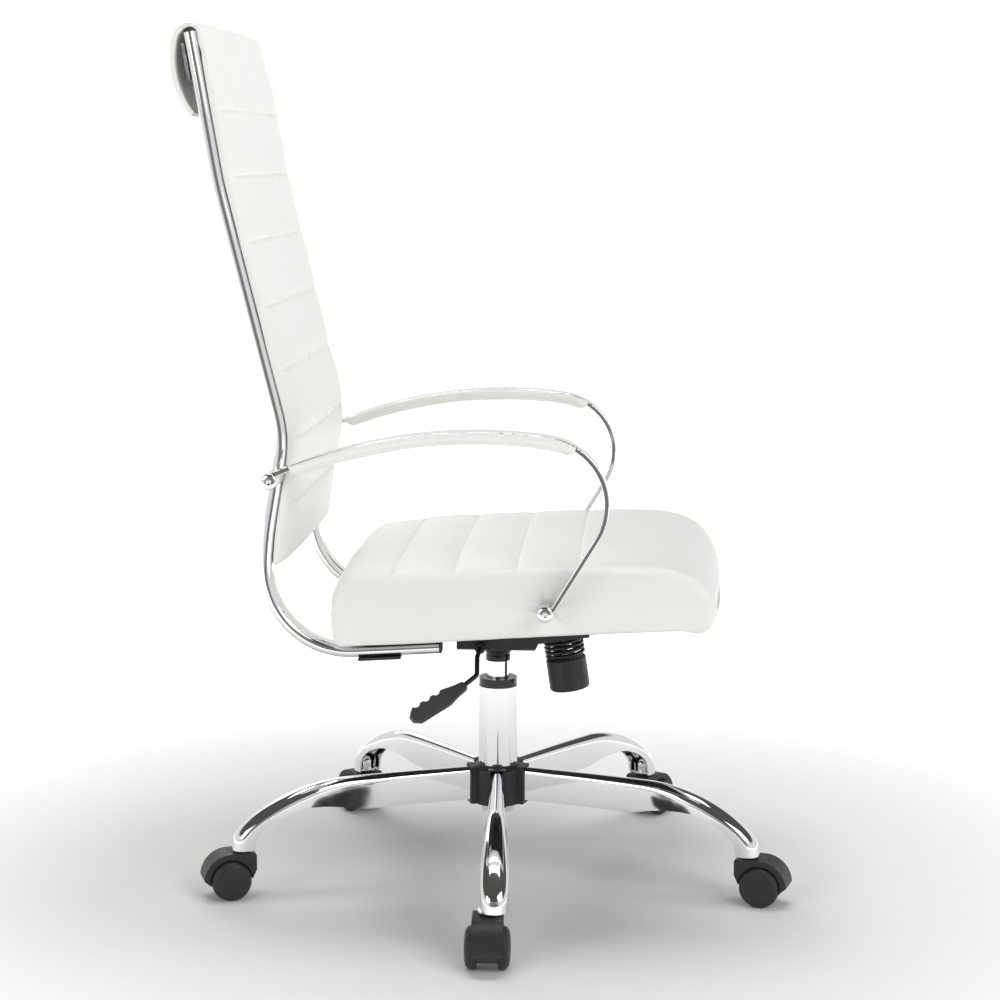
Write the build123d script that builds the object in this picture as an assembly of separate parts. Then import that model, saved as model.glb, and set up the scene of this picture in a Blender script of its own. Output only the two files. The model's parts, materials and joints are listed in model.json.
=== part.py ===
from build123d import *
from math import acos, atan2, cos, degrees, hypot, radians, sin, tan
import os

# Swivel office chair, high back, loop arms. Millimetres, +Z up, origin on the floor
# under the gas column. The chair faces -Y; the sitter's right hand is on the -X side.

# ---- driving dimensions -------------------------------------------------------------
RUN_FIT = 0.05            # radial clearance of a shaft in its hole
FACE_GAP = 0.3            # gap between faces of pieces that move past each other

# five-leg base and casters
LEG_COUNT = 5
BASE_TURN = -1.9          # turn of the base about the column, degrees
STEM_RADIUS = 333.0       # caster stems from the column axis
HUB_BOTTOM, HUB_TOP = 97.0, 148.0
HUB_R = 32.5
SLEEVE_R, SLEEVE_BOTTOM, SLEEVE_TOP = 28.0, 86.0, 142.0
NECK_R, NECK_BORE_R = 20.5, 17.0
LEG_END_Z = 62.0
LEG_WALL = 2.5
# leg sections: top point (R, z), bottom point (R, z), width
LEG_SECTIONS = [
    ((22, 145.0), (22, 103.5), 15),
    ((110, 145.0), (110, 103.6), 18),
    ((180, 144.3), (178, 103.2), 21),
    ((216, 143.0), (207, 108.0), 24),
    ((248, 137.0), (236, 111.2), 28),
    ((280, 126.0), (262, 110.0), 31),
    ((310, 110.0), (287, 102.0), 33),
    ((334, 91.0), (306, 91.0), 33),
    ((345, 76.0), (318, 78.0), 33),
    ((347, LEG_END_Z), (321, LEG_END_Z), 33),
]
STEM_PIN_R = 5.5
SOCKET_R, SOCKET_TOP = 8.0, 73.0
WHEEL_R, WHEEL_OUT, WHEEL_IN = 25.0, 27.0, 12.3
TRAIL = 17.0              # axle behind the stem
AXLE_R = 3.0
HOOD_R, HOOD_HALF, WEB_HALF = 34.0, 18.0, 12.0
HOOD_BOSS_TOP = 61.5

# gas column
TUBE_R, TUBE_BORE_R = 25.0, 23.0
TUBE_BOTTOM, TUBE_TOP, TUBE_FLOOR = 100.0, 250.0, 4.0
COLLAR_TOP, COLLAR_R, BUSH_BOTTOM = 261.0, 24.2, 170.0
GAS_R, GAS_BORE_R = 14.0, 12.0
GAS_BOTTOM, GAS_TOP = 118.0, 305.0
GAS_CAP, GAS_FOOT = 13.0, 6.0
PISTON_ROD_R, PISTON_R = 5.0, 11.9
PISTON_BOTTOM, PISTON_TOP = 250.0, 262.0
BUTTON_R, BUTTON_TOP = 4.0, 308.3

# tilt mechanism
SHEET = 3.0
HOUSING_HALF, HOUSING_FLOOR = 61.0, 298.0
TILT_Y, TILT_Z, TILT_PIN_R = -20.0, 322.0, 5.0
KNOB_TILT = 8.5           # tension screw leans forward at the bottom, degrees
KNOB_BOTTOM_Y, KNOB_BOTTOM_Z = -92.5, 247.0
KNOB_R, KNOB_HEIGHT = 25.5, 41.0
GROOVE_PAIRS, GROOVE_R, GROOVE_SPREAD = 8, 1.1, 4.5
SCREW_R, SCREW_LOW = 4.0, 12.0
SCREW_HEAD_R, SCREW_HEAD_LOW, SCREW_HEAD_TOP = 7.5, 114.8, 119.0
SPRING_SEAT = 75.0        # housing underside above the knob's bottom, along the screw
LEVER_Y, LEVER_Z, LEVER_ROD_R, LEVER_BUSH_R = 18.0, 312.0, 3.0, 6.5
PADDLE_START = Vector(-163, 36, 282)
PADDLE_TIP = Vector(-203, 90, 254)

# seat; its underside board is raked, front higher
RAKE = 3.65
BOARD_Y, BOARD_Z, BOARD_T = 129.0, 344.6, 12.0
BOARD_HALF, BOARD_FRONT, BOARD_REAR = 205.0, -238.0, 165.0
BOARD_CORNER = 28.0
BOLT_HEAD_HOLE_Y, BOLT_HEAD_HOLE_R = -78.0, 17.0
PLATE_T, PLATE_HALF, PLATE_FRONT, PLATE_REAR = 4.0, 85.0, -112.0, 100.0
SEAT_HALF = 228.0
# cushion outline in the raked seat frame: (y, height over the board's underside)
SEAT_OUTLINE = [
    (171, 2.3), (178, 14), (183, 39), (179, 72), (165, 87), (90, 91), (-20, 91), (-130, 87),
    (-205, 82), (-250, 74), (-274, 56), (-282, 34), (-279, 12), (-270, 2.5), (-258, 0.8),
]
BOARD_POCKET_GAP = 0.3     # the cushion's skirt wraps the board with this gap

# back frame: flat-oval tube centreline (y, z) from the top down, with bend radii
FRAME_X, FRAME_WIDE, FRAME_THICK, FRAME_WALL = 190.0, 30.0, 15.0, 1.8
FRAME_TOP = (344.5, 1060.0)
FRAME_BENDS = [(314.5, 885.0), (241.5, 590.0), (262.0, 470.0)]
FRAME_FOOT_Y, FRAME_END_Y = 271.0, 57.0
FRAME_RADII = [600.0, 140.0, 400.0, 98.0]
BRACKET_Y0, BRACKET_Y1, BRACKET_IN = 104.0, 155.0, 150.0
PLATE_BOLTS = [(x, y) for x in (-70, 70) for y in (-95, 84)]
FRAME_BOLTS = [(x, y) for x in (-FRAME_X, FRAME_X) for y in (117, 142)]

# back cushion
BACK_HALF, BACK_T = 203.0, 26.0
BACK_BOTTOM_Z = 434.0
# outer outline (y, z) of the fold-over hood, from the front over the top and down behind
HOOD_OUTER = [(307, 1048), (314, 1061), (327, 1069), (343, 1071.5), (356, 1067),
              (364.5, 1053), (366.5, 1030), (364, 1006), (357, 985), (347, 969), (339, 963)]
# hollow inside the hood (y, z), from the tube tops round and down behind the tubes
HOOD_INNER = [(337, 1065.5), (350, 1064.5), (358.5, 1050), (360.8, 1030), (358.5, 1009),
              (352, 990), (343, 975), (336.4, 964), (332.6, 940)]
HOOD_GAP = 0.7
CROSSBAR_T = 4.0
LUMBAR_AT = 0.58          # share of the frame's length down to the lumbar plate

# arms: flat strap loop
ARM_X, ARM_WIDE, ARM_THICK = 243.0, 26.0, 6.0
ARM_BIG_C, ARM_BIG_R = (5.0, 3.6), 600.0
ARM_BIG_START, ARM_BIG_SWEEP = 65.76, 31.9
ARM_NOSE_R, ARM_NOSE_SWEEP = 77.0, 113.6
ARM_REAR = (249.3, 546.2)
ARM_FRONT = (-71.4, 394.7)
BOSS_R, BOSS_OUT = 9.5, 258.0
BOLT_R, BOLT_HEAD_R = 3.0, 6.8
PAD_WIDE, PAD_THICK = 50.0, 13.0
PAD_REAR_Y, PAD_NOSE_SWEEP = 226.0, 22.0

# ---- helpers ------------------------------------------------------------------------


def save(name, shape):
    export_step(shape, f"parts/{name}.step")


def ring(r_out, r_in, z0, z1):
    tube = Cylinder(r_out, z1 - z0) - Cylinder(r_in, z1 - z0)
    return Pos(0, 0, (z0 + z1) / 2) * tube


def disc(radius, z0, z1):
    return Pos(0, 0, (z0 + z1) / 2) * Cylinder(radius, z1 - z0)


def rod_x(radius, x0, x1, y, z):
    return Pos((x0 + x1) / 2, y, z) * Rot(0, 90, 0) * Cylinder(radius, abs(x1 - x0))


def block(x0, x1, y0, y1, z0, z1):
    centre = Pos((x0 + x1) / 2, (y0 + y1) / 2, (z0 + z1) / 2)
    return centre * Box(abs(x1 - x0), abs(y1 - y0), abs(z1 - z0))


def prism_x(points, x0, x1):
    """Polygon of (y, z) points, extruded from x0 to x1."""
    face = Plane.YZ * make_face(Polyline(*points, close=True))
    return extrude(Pos(x0, 0, 0) * face, amount=x1 - x0, dir=(1, 0, 0))


def revolve_z(points):
    """Polygon of (radius, z) points turned about the Z axis."""
    face = Plane.XZ * make_face(Polyline(*points, close=True))
    return revolve(face, Axis.Z, 360)


def board_z(y):
    """Height of the seat board's raked underside at y."""
    return BOARD_Z + (BOARD_Y - y) * tan(radians(RAKE))


def seat_frame():
    """Raked plane of the board's underside; local z is the height over it."""
    rake = radians(RAKE)
    return Plane((0, 0, board_z(0)), x_dir=(1, 0, 0), z_dir=(0, sin(rake), cos(rake)))


def screw_frame():
    """Frame along the tension screw, from the knob's bottom upwards."""
    lean = radians(KNOB_TILT)
    origin = (0, KNOB_BOTTOM_Y, KNOB_BOTTOM_Z)
    return Plane(origin, x_dir=(1, 0, 0), z_dir=(0, sin(lean), cos(lean)))


def leg_turn(k):
    """Turn about Z that lays the +X direction along leg k."""
    return 180.0 - (BASE_TURN + 360.0 / LEG_COUNT * k)


# ---- base ---------------------------------------------------------------------------


def leg_section(top, bottom, width, wall):
    """Arched channel section; a wall above zero gives the hollow inside it."""
    height = hypot(top[0] - bottom[0], top[1] - bottom[1])
    up = ((top[0] - bottom[0]) / height, 0, (top[1] - bottom[1]) / height)
    plane = Plane((bottom[0], 0, bottom[1]), x_dir=(0, 1, 0), z_dir=(up[2], 0, -up[0]))
    low = -wall if wall else 0
    high = height - wall
    wide = width - 2 * wall
    arch = Pos(0, (low + high) / 2) * Rectangle(wide, high - low)
    return plane * fillet(arch.vertices().sort_by(Axis.Y)[-2:], 0.42 * wide)


def make_leg():
    shell = loft([leg_section(t, b, w, 0) for t, b, w in LEG_SECTIONS], ruled=True)
    hollow = loft([leg_section(t, b, w, LEG_WALL) for t, b, w in LEG_SECTIONS], ruled=True)
    return shell - hollow - disc(SLEEVE_R, 90, 150)


def make_socket():
    bore = disc(STEM_PIN_R + RUN_FIT, LEG_END_Z - 1, SOCKET_TOP + 3)
    body = disc(SOCKET_R, LEG_END_Z + 0.2, SOCKET_TOP) + Pos(0, 0, SOCKET_TOP) * Sphere(SOCKET_R)
    flange = disc(12.0, LEG_END_Z + 0.2, LEG_END_Z + 2.2) - block(11, 20, -20, 20, 60, 70)
    return body + flange - bore


def make_hub():
    hub = revolve_z([
        (SLEEVE_R + RUN_FIT, HUB_BOTTOM), (HUB_R - 1, HUB_BOTTOM), (HUB_R, HUB_BOTTOM + 2),
        (HUB_R, HUB_TOP - 5), (29, HUB_TOP - 2), (26.7, HUB_TOP), (TUBE_R + 0.2, HUB_TOP),
        (TUBE_R + 0.2, SLEEVE_TOP + 0.2), (SLEEVE_R + RUN_FIT, SLEEVE_TOP + 0.2),
    ])
    for k in range(LEG_COUNT):
        turn = Rot(0, 0, leg_turn(k))
        hub += turn * block(30, 38.5, -11.5, 11.5, HUB_BOTTOM + 1, HUB_TOP - 1)
    for k in range(LEG_COUNT):
        turn = Rot(0, 0, leg_turn(k))
        hub -= turn * block(20, 45, -8, 8, 103, 145.5)
    return hub - disc(SLEEVE_R + RUN_FIT, 90, SLEEVE_TOP + 0.2)


def make_sleeve():
    bore = TUBE_R + RUN_FIT
    return revolve_z([
        (NECK_BORE_R, SLEEVE_BOTTOM), (NECK_R, SLEEVE_BOTTOM), (NECK_R, 96),
        (SLEEVE_R, 96), (SLEEVE_R, SLEEVE_TOP), (bore, SLEEVE_TOP), (bore, 99.9),
        (NECK_BORE_R, 99.9),
    ])


def make_column_tube():
    floor = ring(TUBE_R, PISTON_ROD_R + RUN_FIT, TUBE_BOTTOM, TUBE_BOTTOM + TUBE_FLOOR)
    return floor + ring(TUBE_R, TUBE_BORE_R, TUBE_BOTTOM, TUBE_TOP)


def make_column_collar():
    bush = ring(TUBE_BORE_R - RUN_FIT, GAS_R + RUN_FIT, BUSH_BOTTOM, TUBE_TOP)
    lip = ring(COLLAR_R, GAS_R + RUN_FIT, TUBE_TOP, COLLAR_TOP)
    return bush + fillet(lip.edges().filter_by(GeomType.CIRCLE).sort_by(Axis.Z)[-1], 1.5)


# ---- casters, built with the stem on Z and the trail along +X -----------------------


def make_hood():
    lip_z = WHEEL_R + 2
    lip_x = TRAIL + (HOOD_R ** 2 - 4) ** 0.5
    crown = WHEEL_R + HOOD_R
    middle = (TRAIL + HOOD_R * cos(radians(46)), WHEEL_R + HOOD_R * sin(radians(46)))
    edge = Polyline((TRAIL, crown), (-15, crown), (-15, 38), (-4, 14), (0, 12), (34, 12),
                    (lip_x, lip_z))
    arc = ThreePointArc((lip_x, lip_z), middle, (TRAIL, crown))
    side = Plane.XZ * make_face([edge, arc])
    body = extrude(side, amount=HOOD_HALF, both=True)
    body = fillet(body.edges().filter_by(Axis.Y).sort_by(Axis.Z)[-1:], 4)
    for s in (-1, 1):
        pocket = Cylinder(WHEEL_R + 1.5, 20)
        body -= Pos(TRAIL, s * (WEB_HALF + 10), WHEEL_R) * Rot(90, 0, 0) * pocket
        body -= block(-5, 36, s * WEB_HALF, s * 30, 0, 20)
    body += disc(9, crown - 1, HOOD_BOSS_TOP)
    body -= Pos(TRAIL, 0, WHEEL_R) * Rot(90, 0, 0) * Cylinder(AXLE_R, 60)
    return body - disc(STEM_PIN_R, 40, 70)


def make_caster_pins():
    stem = disc(STEM_PIN_R, 40, SOCKET_TOP + 2)
    axle = Pos(TRAIL, 0, WHEEL_R) * Rot(90, 0, 0) * Cylinder(AXLE_R, 2 * 23)
    return stem, axle


def make_wheel(side):
    bore = AXLE_R + RUN_FIT
    outline = Polyline((0, 23.5), (bore, 23.5), (bore, WHEEL_IN), (WHEEL_R - 1, WHEEL_IN),
                       (WHEEL_R, WHEEL_IN + 1), (WHEEL_R, 18.5), (24.4, 21.2), (22.8, 23.4),
                       (20.2, 25.0), (16.0, 26.0), (8.0, 26.8), (0, WHEEL_OUT), close=True)
    wheel = revolve(make_face(outline), Axis.Y, 360)
    flip = Rot(0, 0, 0 if side > 0 else 180)
    return Pos(TRAIL, 0, WHEEL_R) * flip * wheel


def caster_place(k):
    return Rot(0, 0, leg_turn(k)) * Pos(STEM_RADIUS, 0, 0)


# ---- gas lift and mechanism ---------------------------------------------------------


def make_piston_rod():
    rod = disc(PISTON_ROD_R, 96.6, PISTON_TOP) + disc(PISTON_R, PISTON_BOTTOM, PISTON_TOP)
    clip = ring(8, PISTON_ROD_R, 97.6, 99.7)
    return rod + clip


def make_gas_cylinder():
    body = disc(GAS_R, GAS_BOTTOM, GAS_TOP)
    body -= disc(GAS_BORE_R, GAS_BOTTOM + GAS_FOOT, GAS_TOP - GAS_CAP)
    body -= disc(PISTON_ROD_R + RUN_FIT, GAS_BOTTOM, GAS_BOTTOM + GAS_FOOT)
    return body - disc(BUTTON_R + RUN_FIT, GAS_TOP - GAS_CAP, GAS_TOP)


def make_boss():
    bore = GAS_R + 0.02
    return revolve_z([(bore, 283), (15.5, 283), (15.5, 286), (19.5, 295), (19.5, HOUSING_FLOOR - 0.02),
                      (bore, HOUSING_FLOOR - 0.02)])


def spring_seat_z(y, along):
    """Height at y of the plane square to the screw, the given way up the screw."""
    lean = radians(KNOB_TILT)
    seat_y = KNOB_BOTTOM_Y + along * sin(lean)
    seat_z = KNOB_BOTTOM_Z + along * cos(lean)
    return seat_z + (seat_y - y) * tan(lean)


def make_housing():
    front, knee, rear = -118, -54, 48
    low = SPRING_SEAT
    outer = [(rear, HOUSING_FLOOR), (-50, HOUSING_FLOOR), (knee, spring_seat_z(knee, low)),
             (front, spring_seat_z(front, low)), (front, 334), (-60, 335), (0, 332), (rear, 318)]
    inner = [(rear + 1, HOUSING_FLOOR + SHEET), (-48, HOUSING_FLOOR + SHEET),
             (knee + 2, spring_seat_z(knee + 2, low + SHEET)),
             (front - 1, spring_seat_z(front - 1, low + SHEET)), (front - 1, 350), (rear + 1, 350)]
    body = prism_x(outer, -HOUSING_HALF, HOUSING_HALF)
    body -= prism_x(inner, SHEET - HOUSING_HALF, HOUSING_HALF - SHEET)
    body -= rod_x(TILT_PIN_R + 0.02, -80, 80, TILT_Y, TILT_Z)
    body -= rod_x(LEVER_BUSH_R + RUN_FIT, -80, -40, LEVER_Y, LEVER_Z)
    body -= disc(GAS_R + 0.02, 290, 303)
    return body - screw_frame() * disc(SCREW_R + 0.5, SPRING_SEAT - 5, SPRING_SEAT + 15)


def make_spring():
    wire, coil_r = 1.6, 24.2
    low, high = KNOB_HEIGHT + 0.3 + wire, SPRING_SEAT - 0.3 - wire
    path = Helix(pitch=(high - low) / 5.2, height=high - low, radius=coil_r)
    start = Plane(path @ 0, z_dir=path % 0)
    coil = sweep(start * Circle(wire), path=path, is_frenet=True)
    return screw_frame() * Pos(0, 0, low) * coil


def make_tension_bolt():
    shank = disc(SCREW_R, SCREW_LOW, SCREW_HEAD_LOW + 0.3)
    head = disc(SCREW_HEAD_R, SCREW_HEAD_LOW, SCREW_HEAD_TOP)
    return screw_frame() * (shank + head)


def make_knob():
    body = disc(KNOB_R, 0, KNOB_HEIGHT)
    body = fillet(body.edges().filter_by(GeomType.CIRCLE).sort_by(Axis.Z)[0], 4)
    body = chamfer(body.edges().filter_by(GeomType.CIRCLE).sort_by(Axis.Z)[-1], 1)
    groove = Pos(KNOB_R + 0.5, 0, 21.5) * Cylinder(GROOVE_R, 31)
    for i in range(GROOVE_PAIRS):
        for turn in (-GROOVE_SPREAD, GROOVE_SPREAD):
            body -= Rot(0, 0, 360 / GROOVE_PAIRS * i + turn) * groove
    return screw_frame() * (body - disc(SCREW_R + RUN_FIT, 11.5, KNOB_HEIGHT + 1))


def make_lever_bush():
    bush = rod_x(LEVER_BUSH_R, -72, 6, LEVER_Y, LEVER_Z)
    finger = block(-6, 6, -5, LEVER_Y, BUTTON_TOP + FACE_GAP, LEVER_Z)
    return bush + finger - rod_x(LEVER_ROD_R + RUN_FIT, -80, 0, LEVER_Y, LEVER_Z)


def make_lever_rod():
    path = FilletPolyline((-20, LEVER_Y, LEVER_Z), (-118, LEVER_Y, LEVER_Z), (-134, 17, 293),
                          tuple(PADDLE_START), radius=9)
    start = Plane((-20, LEVER_Y, LEVER_Z), z_dir=(-1, 0, 0))
    return sweep(start * Circle(LEVER_ROD_R), path=path)


def make_paddle():
    along = (PADDLE_TIP - PADDLE_START).normalized()
    face_dir = Vector(-0.75, -0.1, 0.66)
    normal = (face_dir - along * face_dir.dot(along)).normalized()
    plane = Plane(PADDLE_START - along * 8, x_dir=along, z_dir=normal)
    length = (PADDLE_TIP - PADDLE_START).length + 8
    outline = make_face(Polyline((0, -5), (14, -7), (28, -10.5), (length - 8, -10.5), (length, -4),
                                 (length, 4), (length - 8, 10.5), (28, 10.5), (14, 7), (0, 5),
                                 close=True))
    body = extrude(plane * outline, amount=4, both=True)
    for i in range(3):
        scallop = Pos(36 + 15 * i, -13.5, 0) * Cylinder(6, 12)
        body -= plane * scallop
    return body


# ---- seat ---------------------------------------------------------------------------


def make_tilt_plate():
    plate = block(-PLATE_HALF, PLATE_HALF, PLATE_FRONT, PLATE_REAR, -PLATE_T, -0.02)
    plate -= block(-7, 7, -94, -69, -10, 10)
    for x, y in PLATE_BOLTS:
        plate -= Pos(x, y, 0) * Cylinder(BOLT_R + RUN_FIT, 20)
    plate = seat_frame() * plate
    top = board_z(TILT_Y) - PLATE_T + 1
    for s in (-1, 1):
        ear = [(-36, top), (-4, top - 2), (-9, 311), (-31, 311)]
        plate += prism_x(ear, s * 54 - 1.5, s * 54 + 1.5)
    return plate - rod_x(TILT_PIN_R + RUN_FIT, -80, 80, TILT_Y, TILT_Z)


def board_blank(margin, top):
    """Rounded board outline grown by a margin, up to a height in the raked frame."""
    half = BOARD_HALF + margin
    blank = block(-half, half, BOARD_FRONT - margin, BOARD_REAR + margin, 0, top)
    return fillet(blank.edges().filter_by(Axis.Z), BOARD_CORNER + margin)


def make_board():
    board = board_blank(0, BOARD_T) - Pos(0, BOLT_HEAD_HOLE_Y, 0) * Cylinder(BOLT_HEAD_HOLE_R, 40)
    for x, y in PLATE_BOLTS + FRAME_BOLTS:
        board -= Pos(x, y, 3) * Cylinder(BOLT_R + RUN_FIT, 14)
    return seat_frame() * board


def dome_bolt(x, y, under, length):
    """Domed bolt head under a face, with its shank going up."""
    head = Pos(0, 0, under - 1.5) * Cylinder(6, 3)
    head = fillet(head.edges().filter_by(GeomType.CIRCLE).sort_by(Axis.Z)[0], 2.4)
    shank = disc(BOLT_R, under, under + length)
    return seat_frame() * Pos(x, y, 0) * (head + shank)


def make_under_bolts():
    plate = [dome_bolt(x, y, -PLATE_T - 0.02, 12) for x, y in PLATE_BOLTS]
    frame = [dome_bolt(x, y, -FRAME_THICK - SHEET - 0.5, 26) for x, y in FRAME_BOLTS]
    return plate + frame


def make_bracket(side):
    y0, y1 = BRACKET_Y0, BRACKET_Y1
    low = -FRAME_THICK - SHEET - 0.48
    bracket = block(side * BRACKET_IN, side * 207, y0, y1, low, low + SHEET)
    bracket += block(side * BRACKET_IN, side * (BRACKET_IN + SHEET), y0, y1, low, -0.05)
    bracket += block(side * (BRACKET_IN - 22), side * (BRACKET_IN + SHEET), y0, y1, -SHEET, -0.05)
    for x, y in FRAME_BOLTS:
        bracket -= Pos(x, y, 0) * Cylinder(BOLT_R + RUN_FIT, 60)
    return seat_frame() * bracket


def arm_bracket(side):
    plate = block(side * 196, side * 199, -98, -46, board_z(-98) + BOARD_T + 0.6, 408)
    foot = seat_frame() * block(side * 166, side * 199, -98, -46, BOARD_T + 0.1, BOARD_T + 2.6)
    return plate + foot - rod_x(BOLT_R + RUN_FIT, side * 150, side * 240, *ARM_FRONT)


def make_seat_cushion():
    face = make_face(Polyline(*SEAT_OUTLINE, close=True))
    frame = seat_frame()
    wall = Plane(frame.origin, x_dir=frame.y_dir, z_dir=(1, 0, 0))
    cushion = extrude(wall * face, amount=SEAT_HALF, both=True)
    cushion -= frame * board_blank(BOARD_POCKET_GAP, BOARD_T + 0.1)
    for side in (-1, 1):
        cushion -= block(side * 195.8, side * 199.2, -98.2, -45.8, 340, 408.2)
        cushion -= frame * block(side * 165.8, side * 199.2, -98.2, -45.8, BOARD_T, BOARD_T + 2.8)
        cushion -= rod_x(BOLT_R + 0.2, side * 185, side * 240, *ARM_FRONT)
    return cushion


# ---- back frame and back cushion ----------------------------------------------------


def frame_path(x):
    foot = (FRAME_FOOT_Y, board_z(FRAME_FOOT_Y) - FRAME_THICK / 2 - 0.3)
    end = (FRAME_END_Y, board_z(FRAME_END_Y) - FRAME_THICK / 2 - 0.3)
    corners = [FRAME_TOP] + FRAME_BENDS + [foot, end]
    return FilletPolyline(*[(x, y, z) for y, z in corners], radius=FRAME_RADII)


def make_frame_tube(side):
    path = frame_path(side * FRAME_X)
    start = Plane(path @ 0, x_dir=(1, 0, 0), z_dir=path % 0)
    outer = start * SlotOverall(FRAME_WIDE, FRAME_THICK)
    inner = start * SlotOverall(FRAME_WIDE - 2 * FRAME_WALL, FRAME_THICK - 2 * FRAME_WALL)
    tube = sweep(outer, path=path) - sweep(inner, path=path)
    for x, y in FRAME_BOLTS:
        tube -= seat_frame() * Pos(x, y, -10) * Cylinder(BOLT_R + RUN_FIT, 40)
    return tube - rod_x(BOLT_R + RUN_FIT, side * 170, side * 210, *ARM_REAR)


def frame_plug(side, end):
    """Cap in the tube's end: 0 is the top end, 1 the front end under the seat."""
    path = frame_path(side * FRAME_X)
    out = (path % end) * (1 if end else -1)
    plane = Plane(path @ end, x_dir=(1, 0, 0), z_dir=out)
    slack = 2 * FRAME_WALL + 0.1
    plug = extrude(SlotOverall(FRAME_WIDE - slack, FRAME_THICK - slack), amount=-12)
    head = extrude(SlotOverall(FRAME_WIDE, FRAME_THICK), amount=2)
    return plane * (plug + head)


def tube_front(height):
    """Y of the tube's front face at a height on its upper, straight part."""
    y1, z1 = FRAME_BENDS[0]
    y0, z0 = FRAME_TOP
    lean = (y0 - y1) / (z0 - z1)
    return y1 + (height - z1) * lean - FRAME_THICK / 2 * hypot(1, lean)


def back_faces(gap, thick):
    """Rear and front outlines (y, z) of the back cushion, from the bottom up."""
    path = frame_path(0)
    rear, front = [], []
    steps = 30
    for i in range(steps + 1):
        along = 0.035 + 0.66 * i / steps
        spot, way = path @ along, path % along
        if spot.Z < BACK_BOTTOM_Z:
            break
        ahead = Vector(0, way.Z, -way.Y)
        rear.append(spot + ahead * (FRAME_THICK / 2 + gap))
        front.append(spot + ahead * (FRAME_THICK / 2 + gap + thick))
    rear.reverse()
    front.reverse()
    return rear, front


def make_back_cushion():
    rear, front = back_faces(0.8, BACK_T)
    loop = [(p.Y, p.Z) for p in rear] + [(p.Y, p.Z) for p in reversed(front)]
    pad = prism_x(loop, -BACK_HALF, BACK_HALF)
    top = rear[-1]
    hood_line = [(front[-1].Y, front[-1].Z)] + HOOD_OUTER
    hood = prism_x(hood_line + [(top.Y, top.Z)], -BACK_HALF, BACK_HALF)
    front_line = [(tube_front(z) - HOOD_GAP, z) for z in (940, 1062)]
    hollow = prism_x(front_line + HOOD_INNER, -BACK_HALF - 1, BACK_HALF + 1)
    return pad + (hood - hollow)


def make_crossbars():
    lean = degrees(atan2(FRAME_TOP[0] - FRAME_BENDS[0][0], FRAME_TOP[1] - FRAME_BENDS[0][1]))
    y, z = FRAME_TOP
    behind = FRAME_THICK / 2 + CROSSBAR_T / 2 + 0.1
    plate = Pos(0, behind, 0) * Box(2 * FRAME_X + 20, CROSSBAR_T, 42)
    plate = Pos(0, y - 4.6, z - 32) * Rot(-lean, 0, 0) * plate
    path = frame_path(0)
    across = Plane(path @ LUMBAR_AT, x_dir=(1, 0, 0), z_dir=path % LUMBAR_AT)
    lumbar = across * Box(2 * (FRAME_X - FRAME_WIDE / 2) - 0.2, CROSSBAR_T, 32)
    return plate, lumbar


# ---- arms ---------------------------------------------------------------------------


def arm_arcs(offset, start, nose_sweep):
    """Two tangent arcs (y, z) of the strap's line, moved outwards by offset."""
    sweep_angle = ARM_BIG_START + ARM_BIG_SWEEP - start
    big = CenterArc(ARM_BIG_C, ARM_BIG_R + offset, start, sweep_angle)
    turn = radians(ARM_BIG_START + ARM_BIG_SWEEP)
    reach = ARM_BIG_R - ARM_NOSE_R
    nose_c = (ARM_BIG_C[0] + reach * cos(turn), ARM_BIG_C[1] + reach * sin(turn))
    nose = CenterArc(nose_c, ARM_NOSE_R + offset, degrees(turn), nose_sweep)
    return big, nose


def sweep_flat(edges, x, section):
    wall = Plane((x, 0, 0), x_dir=(0, 1, 0), z_dir=(1, 0, 0))
    path = Wire([wall * edge for edge in edges])
    start = Plane(path @ 0, x_dir=(1, 0, 0), z_dir=path % 0)
    return sweep(start * section, path=path)


def make_arm(side):
    big, nose = arm_arcs(0, ARM_BIG_START, ARM_NOSE_SWEEP)
    tip, way = nose @ 1, nose % 1
    reach = (ARM_FRONT[0] - tip.X) * way.X + (ARM_FRONT[1] - tip.Y) * way.Y
    edges = [big, nose, Line(tip, tip + way * reach)]
    x = side * ARM_X
    arm = sweep_flat(edges, x, RectangleRounded(ARM_WIDE, ARM_THICK, 1.2))
    arm += rod_x(BOSS_R, side * (FRAME_X + FRAME_WIDE / 2 + 0.1), side * BOSS_OUT, *ARM_REAR)
    arm += rod_x(BOSS_R, side * (SEAT_HALF + 0.2), side * BOSS_OUT, *ARM_FRONT)
    for y, z in (ARM_REAR, ARM_FRONT):
        arm -= rod_x(BOLT_R + RUN_FIT, side * 190, side * 270, y, z)
        arm -= rod_x(BOLT_HEAD_R + 0.2, side * (BOSS_OUT - 4), side * 270, y, z)
    return arm


def arm_bolt(side, inner, y, z):
    head = rod_x(BOLT_HEAD_R, side * (BOSS_OUT - 3.98), side * (BOSS_OUT - 0.5), y, z)
    socket = rod_x(2.5, side * (BOSS_OUT - 2.5), side * BOSS_OUT, y, z)
    return head - socket + rod_x(BOLT_R, side * inner, side * (BOSS_OUT - 3), y, z)


def make_armpad(side):
    lift = ARM_THICK / 2 + PAD_THICK / 2 + 0.05
    start = degrees(acos((PAD_REAR_Y - ARM_BIG_C[0]) / (ARM_BIG_R + lift)))
    edges = arm_arcs(lift, start, PAD_NOSE_SWEEP)
    return sweep_flat(edges, side * ARM_X, RectangleRounded(PAD_WIDE, PAD_THICK, 5.5))


# ---- write the parts ----------------------------------------------------------------


def save_base():
    leg, socket = make_leg(), make_socket()
    for k in range(LEG_COUNT):
        save(f"base_leg_{k + 1}", Rot(0, 0, leg_turn(k)) * leg)
    save("caster_sockets", Compound([caster_place(k) * socket for k in range(LEG_COUNT)]))
    save("base_hub", make_hub())
    save("hub_sleeve", make_sleeve())
    save("column_tube", make_column_tube())
    save("column_collar", make_column_collar())


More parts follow.
